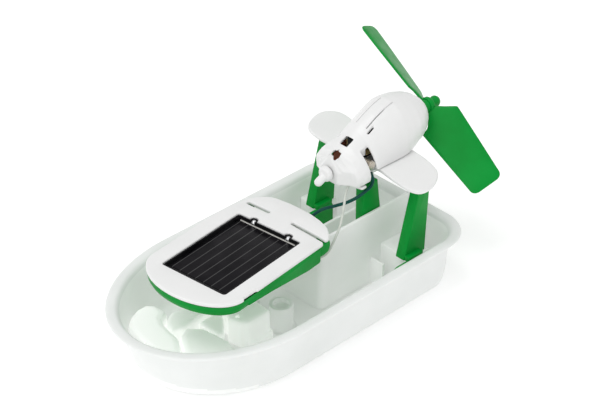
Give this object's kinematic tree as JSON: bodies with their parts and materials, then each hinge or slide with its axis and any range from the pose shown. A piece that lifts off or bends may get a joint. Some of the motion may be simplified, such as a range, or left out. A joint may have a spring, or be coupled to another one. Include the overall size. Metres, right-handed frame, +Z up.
{
  "type": "solar powered toy air boat kit",
  "caption": "Toy air boat built from a solar kit: a tub hull with a tilting solar panel at the bow and a motor pod on legs that turns a stern propeller.",
  "frame": {"origin": "middle of the hull's flat bottom face", "axes": "+X towards the stern and the propeller, +Y to the far side, +Z up"},
  "size_m": [0.1637, 0.08, 0.0841],
  "materials": {
    "hull_plastic": "satin moulded, slightly translucent",
    "white_plastic": "satin moulded",
    "green_plastic": "glossy moulded",
    "black_plastic": "satin moulded",
    "solar_black": "clear epoxy over a black cell",
    "steel": "plain",
    "solder": "bright solder",
    "brass": "plain",
    "copper": "enamelled copper",
    "ferrite": "sintered",
    "teal_insulation": "satin sleeve",
    "white_insulation": "satin sleeve"
  },
  "bodies": {
    "hull": {"hull": "hull_plastic", "stand_crossbar": "white_plastic", "stand_arm": "white_plastic", "stand_middle": "white_plastic", "stand_wedge": "white_plastic", "stand_rear": "white_plastic", "near_leg": "green_plastic", "far_leg": "green_plastic", "mid_leg": "green_plastic", "pod_cover": "white_plastic", "pod_tray": "white_plastic", "nose_peg": "white_plastic", "motor_can": "steel", "motor_bush": "brass", "motor_end_bell": "black_plastic", "nose_contact": "copper", "contact_spring": "brass", "motor_terminal_near": "brass", "motor_terminal_far": "brass", "motor_brush_near": "copper", "motor_brush_far": "copper", "motor_magnet_near": "ferrite", "motor_magnet_far": "ferrite", "panel_clip": "white_plastic", "teal_wire": "teal_insulation", "white_wire": "white_insulation"},
    "rotor": {"motor_shaft": "steel", "armature_core": "steel", "armature_winding_front": "copper", "armature_winding_rear": "copper", "commutator": "copper", "propeller": "green_plastic"},
    "bracket": {"panel_yoke": "white_plastic"},
    "panel": {"panel_frame": "white_plastic", "solar_cell": "solar_black", "solder_terminal_far": "solder", "solder_terminal_near": "solder", "panel_shell": "green_plastic", "hinge_pin": "steel", "panel_screw_far": "steel", "panel_screw_near": "steel"}
  },
  "joints": [
    {"name": "propeller_spin", "type": "hinge", "parent": "hull", "child": "rotor", "pos_m": [0.0843, 0, 0.0596], "axis": [1, 0, 0], "continuous": true},
    {"name": "panel_swivel", "type": "hinge", "parent": "hull", "child": "bracket", "pos_m": [0.00901, 0.00333, 0.0285], "axis": [0, 0, 1], "range_deg": [-14, 3]},
    {"name": "panel_tilt", "type": "hinge", "parent": "bracket", "child": "panel", "pos_m": [0.00901, 0.00333, 0.0349], "axis": [-0.1149, 0.9934, 0], "range_deg": [-4, 15]}
  ]
}
